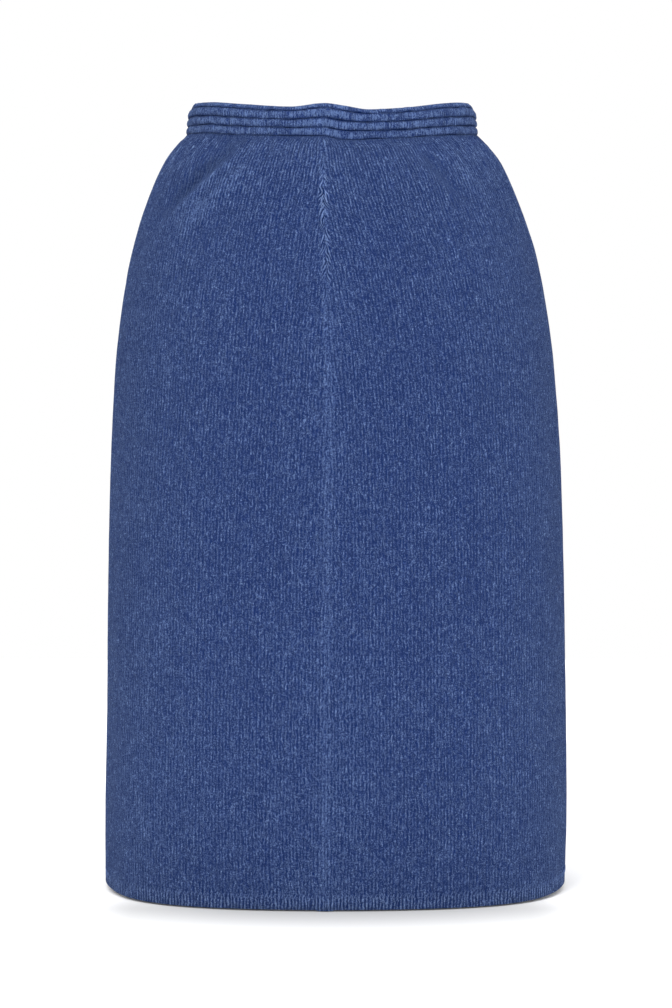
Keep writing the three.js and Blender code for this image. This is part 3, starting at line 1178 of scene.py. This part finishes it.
def floor_material():
    """A pale floor, with a soft shadow painted into its colour where the skirt nearly touches it.
    """
    pale = Surface("pale_floor")
    across, depth = pale.axes(pale.node("ShaderNodeTexCoord", output="Object"))
    away = ((across / 0.207) ** 2 + (depth / 0.13) ** 2) ** 0.5
    beyond = away.ramp(0.9, 2.2) + depth.ramp(-0.12, -0.03) + abs(across).ramp(0.17, 0.26)
    # Painted shadow: the floor's colour is darker near the hem and lighter away from it
    shade = pale.mix(beyond.clamped(), (0.5, 0.5, 0.5), (0.97, 0.97, 0.97))
    shader = pale.node(
        "ShaderNodeBsdfPrincipled",
        values={"Base Color": shade, "Roughness": 0.9, "Specular IOR Level": 0},
    )
    pale.node("ShaderNodeOutputMaterial", values={"Surface": shader})
    return pale.material


def lay_floor():
    """The floor, just under the hem."""
    shape = bmesh.new()
    bmesh.ops.create_grid(shape, x_segments=1, y_segments=1, size=FLOOR_REACH)
    bmesh.ops.translate(shape, verts=shape.verts, vec=(0, 0, CAD_BOX[0][2] - FLOOR_GAP))
    mesh = bpy.data.meshes.new("floor")
    shape.to_mesh(mesh)
    shape.free()
    mesh.materials.append(floor_material())
    floor = bpy.data.objects.new("floor", mesh)
    bpy.context.scene.collection.objects.link(floor)
    return floor


def facing(place, aim):
    """The turn that points a light or a camera at a place."""
    return (Vector(aim) - Vector(place)).to_track_quat("-Z", "Y").to_euler()


class SKIRT_OT_stage(bpy.types.Operator):
    """Sets up the pale floor, the soft lights and the camera"""

    bl_idname = "skirt.stage"
    bl_label = "Stage"

    def execute(self, context):
        scene = context.scene
        lay_floor()

        world = bpy.data.worlds.new("studio")
        world.use_nodes = True
        world.node_tree.nodes["Background"].inputs["Color"].default_value = (1, 1, 1, 1)
        world.node_tree.nodes["Background"].inputs["Strength"].default_value = 1.0
        scene.world = world
        for row in named(LIGHT_COLUMNS, LIGHTS):
            light = bpy.data.lights.new(row["name"], "AREA")
            light.size = row["size"]
            light.energy = row["power"]
            lamp = bpy.data.objects.new(row["name"], light)
            lamp.location = row["place"]
            lamp.rotation_euler = facing(row["place"], LIT_POINT)
            scene.collection.objects.link(lamp)

        camera = bpy.data.objects.new("camera", bpy.data.cameras.new("camera"))
        camera.data.sensor_fit = "VERTICAL"
        camera.data.sensor_height = SENSOR_HEIGHT
        camera.data.lens = FOCAL_PIXELS * SENSOR_HEIGHT / PICTURE_HEIGHT
        camera.location = CAMERA_PLACE
        camera.rotation_euler = facing(CAMERA_PLACE, CAMERA_AIM)
        scene.collection.objects.link(camera)
        scene.camera = camera
        scene.view_settings.view_transform = "Standard"
        scene.view_settings.look = "None"
        return {"FINISHED"}


class SKIRT_PT_sidebar(bpy.types.Panel):
    """Lists the skirt's sizes, colours and pieces"""

    bl_label = "Rib knit skirt"
    bl_idname = "SKIRT_PT_sidebar"
    bl_space_type = "VIEW_3D"
    bl_region_type = "UI"
    bl_category = "Skirt"

    def draw(self, context):
        layout = self.layout
        for group in (context.scene.skirt_sizes, context.scene.skirt_colours):
            for name in group.__annotations__:
                layout.prop(group, name)
        for operator in OPERATORS:
            layout.operator(operator.bl_idname)


GROUPS = (SkirtSizes, SkirtColours)
OPERATORS = (
    SKIRT_OT_waistband,
    SKIRT_OT_front_panels,
    SKIRT_OT_back_panel,
    SKIRT_OT_stitching,
    SKIRT_OT_stage,
)


def register():
    for kind in (*GROUPS, *OPERATORS, SKIRT_PT_sidebar):
        bpy.utils.register_class(kind)
    bpy.types.Scene.skirt_sizes = PointerProperty(type=SkirtSizes)
    bpy.types.Scene.skirt_colours = PointerProperty(type=SkirtColours)


def unregister():
    del bpy.types.Scene.skirt_colours
    del bpy.types.Scene.skirt_sizes
    for kind in reversed((*GROUPS, *OPERATORS, SKIRT_PT_sidebar)):
        bpy.utils.unregister_class(kind)


def main():
    register()
    bpy.ops.skirt.waistband()
    bpy.ops.skirt.front_panels()
    bpy.ops.skirt.back_panel()
    bpy.ops.skirt.stitching()
    bpy.ops.skirt.stage()


if __name__ == "__main__":
    main()
